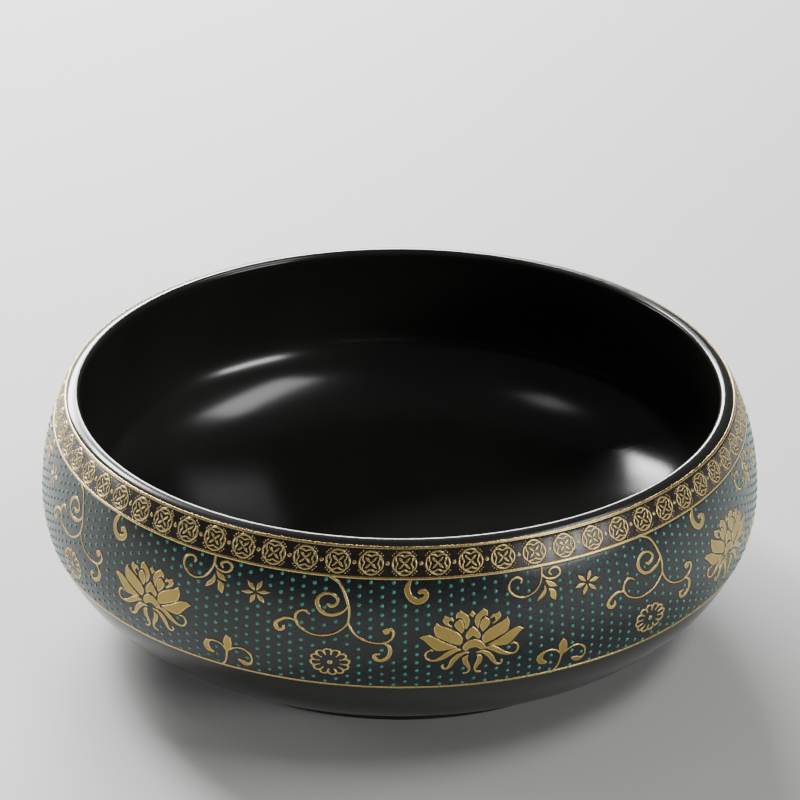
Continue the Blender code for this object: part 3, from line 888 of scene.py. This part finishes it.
def build_body():
    verts, faces = turned(bowl_skin(0.0, 2) + list(reversed(bowl_skin(COAT, 2))))
    new_piece("glaze_coat", verts, faces, GLAZE, ["glaze_coat"])

    # the clay shows only at the foot ring; its upper side lies just under the coat
    skin = bowl_skin(COAT + 0.03, 2)
    inner = FOOT_INNER_RADIUS
    foot = [(FOOT_RADIUS - 0.38, 0.45), (FOOT_RADIUS - 0.52, 0.16),
            (FOOT_RADIUS - 0.9, 0.0), (inner + 0.5, 0.0), (inner + 0.15, 0.12), (inner, 0.5),
            (inner - 0.06, 1.4), (inner - 0.12, 2.3), (inner - 0.2, 2.8)]
    foot += [(radius, RECESS_HEIGHT) for radius in (inner - 0.45, 36.0, 24.0, 12.0, 0.0)]
    verts, faces = turned(skin + foot)
    new_piece("stoneware_body", verts, faces, CLAY, ["stoneware_body"])

    edge = inner - 0.5
    under = [(0.0, 2.97), (15.0, 2.97), (30.0, 2.97), (edge - 0.35, 2.97), (edge - 0.1, 2.92),
             (edge, 2.82), (edge - 0.2, 2.7), (edge - 0.8, 2.64), (edge - 3.0, 2.62), (30.0, 2.62),
             (15.0, 2.62), (0.0, 2.62)]
    verts, faces = turned(under)
    new_piece("base_glaze", verts, faces, UNDER_GLAZE, ["base_glaze"])


# ---------------------------------------------------------------- ornament, medallions and dots

GOLD_RINGS = [0.06, 0.14, 0.26, 0.40]
GOLD_DEPTHS = [0.0, 0.06, 0.14, 0.26, 0.40]
GOLD_HEIGHTS = [0.015, 0.055, 0.08, 0.07, 0.06]
FLAT_HEIGHTS = [0.010, 0.010]
FLAT_DEPTHS = [0.0, 1.0]
ORNAMENT_OUTLINE = 0.12      # how far the dark outline shows round the gold
MEDALLION_OUTLINE = 0.10
MEDALLION_START = -0.3455    # radians: where the row of medallions starts

DOT_COLUMNS = 30             # for each ornament group
DOT_START = -5.5             # u of the middle column
DOT_TOPS = (22.9, 22.0)      # v of the top dot in every other column
DOT_LEAST = 1.2              # v below which there are no dots
DOT_STEP = 1.79
DOT_RADIUS = 0.40
DOT_CLEARANCE = 0.60         # from the middle of a dot to the nearest gold
DOT_SIDES = 14
DOT_RINGS = ((0.45, 0.15), (0.8, 0.09), (1.0, -0.03))   # share of the radius, and height
DOT_HEIGHT = 0.17


def joined(parts):
    """Several closed bodies as one mesh, with their shade values."""
    verts, faces, shades = [], [], []
    start = 0
    for part_verts, part_faces, part_shade in parts:
        verts.append(part_verts)
        shades.append(part_shade)
        faces += [tuple(i + start for i in face) for face in part_faces]
        start += len(part_verts)
    return np.concatenate(verts), faces, np.concatenate(shades)


def build_ornaments():
    """Gold and outline for each ornament. Gives the gold's borders, for keeping dots clear."""
    borders = []
    for name, (outlines, place) in ORNAMENTS.items():
        gold = [pad(group, GOLD_RINGS, 0.55) for group in outlines(0.0)]
        dark = pad([shape for group in outlines(ORNAMENT_OUTLINE) for shape in group], [], 1.2)
        for flat, _, _, rim in gold:
            borders.append((flat[[a for a, _ in rim]] + (place, 0.0),
                            flat[[b for _, b in rim]] + (place, 0.0)))
        for k in range(REPEATS):
            at = place + PITCH * k
            node = "%s_%d" % (name, k + 1)
            parts = [raised(*g, at, GROUND_TOP, GOLD_HEIGHTS, GOLD_DEPTHS) for g in gold]
            verts, faces, shade = joined(parts)
            new_piece(node, verts, faces, GOLD, [node], shade)
            verts, faces, _ = raised(*dark, at, GROUND_TOP, FLAT_HEIGHTS, FLAT_DEPTHS)
            new_piece("%s_outline_%d" % (name, k + 1), verts, faces, OUTLINE)
    return borders


def build_medallions():
    """The border's row of medallions, their outlines and the dots between them."""
    gold = pad([shape for group in medallion(0.0) for shape in group], [0.05, 0.12], 0.4)
    dark = pad([shape for group in medallion(MEDALLION_OUTLINE) for shape in group], [], 1.2)
    spacer = pad([disc((0.0, BORDER_MIDDLE), 0.40, 20)], [0.08, 0.2], 0.3)
    step = math.tau / MEDALLIONS
    rings = []
    darks = []
    spots = []
    for k in range(MEDALLIONS):
        at = (MEDALLION_START + k * step) * UNROLL_RADIUS
        rings.append(raised(*gold, at, GROUND_TOP, [0.015, 0.05, 0.07], [0.0, 0.05, 0.12]))
        darks.append(raised(*dark, at, GROUND_TOP, FLAT_HEIGHTS, FLAT_DEPTHS))
        spots.append(raised(*spacer, at + step * UNROLL_RADIUS / 2.0, GROUND_TOP,
                            [0.015, 0.05, 0.09, 0.10], [0.0, 0.08, 0.2, 0.4]))
    for name, parts, mat, slot in (("border_medallions", rings, GOLD, "gold_lustre"),
                                   ("border_medallion_outlines", darks, OUTLINE, "border_ground"),
                                   ("border_spacer_dots", spots, GOLD, "gold_lustre")):
        verts, faces, shade = joined(parts)
        new_piece(name, verts, faces, mat, (), shade)


def build_dots(borders):
    """Staggered columns of enamel dots, left out wherever the gold comes close."""
    places = []
    for c in range(DOT_COLUMNS):
        column = c - DOT_COLUMNS // 2
        v = DOT_TOPS[column % 2]
        while v > DOT_LEAST:
            places.append((DOT_START + PITCH / DOT_COLUMNS * column, v))
            v -= DOT_STEP
    places = np.array(places)
    clear = np.full(len(places), True)
    for a, b in borders:
        for shift in (-PITCH, 0.0, PITCH):
            moved = (a + (shift, 0.0), b + (shift, 0.0))
            clear &= boundary_distance(places, *moved) > DOT_CLEARANCE
            clear &= ~inside(places, *moved)
    # no dots within the daisy either
    for shift in (-PITCH, 0.0, PITCH):
        across = (places[:, 0] - ORNAMENTS["daisy"][1] - shift) / 3.9
        clear &= np.hypot(across, (places[:, 1] - 6.2) / 3.0) > 1.0
    places = places[clear]
    around = DOT_SIDES
    verts = []
    faces = []
    for k in range(REPEATS):
        for n, (u, v) in enumerate(places):
            size = DOT_RADIUS * (1.0 + 0.06 * math.sin(7.1 * n + 2.3 * k))
            start = len(verts)
            flat = [(u, v)]
            lift = [GROUND_TOP + DOT_HEIGHT]
            for reach, height in DOT_RINGS:
                for i in range(around):
                    angle = math.tau * i / around
                    flat.append((u + size * reach * math.cos(angle),
                                 v + size * reach * math.sin(angle)))
                    lift.append(GROUND_TOP + height)
            flat.append((u, v))
            lift.append(GROUND_TOP + DOT_RINGS[-1][1])
            flat = np.array(flat) + (PITCH * k, 0.0)
            verts += [tuple(p) for p in on_wall(flat, np.array(lift))]
            for i in range(around):
                j = (i + 1) % around
                faces.append((start, start + 1 + i, start + 1 + j))
                for row in (0, 1):
                    a = start + 1 + row * around
                    faces.append((a + i, a + around + i, a + around + j, a + j))
                last = start + 1 + 2 * around
                faces.append((last + j, last + i, start + 1 + 3 * around))
    new_piece("enamel_dots", verts, faces, ENAMEL)


build_body()
film("dot_field_ground", *DOT_FIELD, FIELD, "field_ground")
film("border_ground", *BORDER, BROWN, "border_ground")
gold_line("upper_gold_line", *UPPER_LINE, 1.0, LINE_TOP)
gold_line("lower_gold_line", *LOWER_LINE, 2.0, LINE_TOP)
gold_line("base_gold_line", *BASE_LINE, 3.0, BASE_LINE_TOP)
build_dots(build_ornaments())
build_medallions()


# ---------------------------------------------------------------- floor, light and camera

def plane(name, size, mat):
    mesh = bpy.data.meshes.new(name)
    h = size / 2.0
    mesh.from_pydata([(-h, -h, 0.0), (h, -h, 0.0), (h, h, 0.0), (-h, h, 0.0)], [], [(0, 1, 2, 3)])
    mesh.materials.append(mat)
    piece = bpy.data.objects.new(name, mesh)
    bpy.context.scene.collection.objects.link(piece)
    return piece


LAMP_DISTANCE = 1.5


def softbox(name, azimuth, elevation, width, height, power):
    """Area light aimed at the bowl. Azimuth turns from the front (0) to the viewer's right (90)."""
    light = bpy.data.lights.new(name, "AREA")
    light.shape = "RECTANGLE"
    light.size = width
    light.size_y = height
    light.energy = power
    lamp = bpy.data.objects.new(name, light)
    a, e = math.radians(azimuth), math.radians(elevation)
    way = Vector((math.sin(a) * math.cos(e), -math.cos(a) * math.cos(e), math.sin(e)))
    lamp.location = MIDDLE + way * LAMP_DISTANCE
    lamp.rotation_euler = way.to_track_quat("Z", "Y").to_euler()
    bpy.context.scene.collection.objects.link(lamp)
    return lamp


MIDDLE = (Vector(CAD_BOX[0]) + Vector(CAD_BOX[1])) / 2.0
floor = plane("floor", 12.0, floor_paint())
key = softbox("key_back_left", 217.0, 39.0, 0.34, 0.29, 20.0)
back = softbox("broad_back", 197.0, 21.0, 1.05, 0.34, 54.0)
low = softbox("low_left", 250.0, 9.5, 0.60, 0.13, 4.5)
side = softbox("high_right", 78.0, 58.0, 0.85, 0.32, 7.0)
front = softbox("low_right", 54.0, 14.5, 0.60, 0.16, 7.8)
top = softbox("high_left", 273.0, 59.0, 0.28, 0.22, 0.45)

world = bpy.data.worlds.new("studio")
world.use_nodes = True
world.node_tree.nodes["Background"].inputs["Color"].default_value = (0.80, 0.81, 0.82, 1.0)
world.node_tree.nodes["Background"].inputs["Strength"].default_value = 0.12
bpy.context.scene.world = world

ELEVATION = math.radians(28.2)
TILT = math.radians(1.48)
ROLL = math.radians(0.24)
DISTANCE = 0.72
FOCAL_LENGTH = 155.75
lens = bpy.data.cameras.new("view")
lens.sensor_width = 36.0
lens.lens = FOCAL_LENGTH
lens.clip_end = 50.0
camera = bpy.data.objects.new("view", lens)
camera.location = Vector((0.0, -DISTANCE * math.cos(ELEVATION),
                          BOWL_HEIGHT * MM / 2.0 + DISTANCE * math.sin(ELEVATION)))
aim = Matrix.Rotation(math.pi / 2.0 - ELEVATION + TILT, 4, "X") @ Matrix.Rotation(ROLL, 4, "Z")
camera.rotation_euler = aim.to_euler()
bpy.context.scene.collection.objects.link(camera)
bpy.context.scene.camera = camera
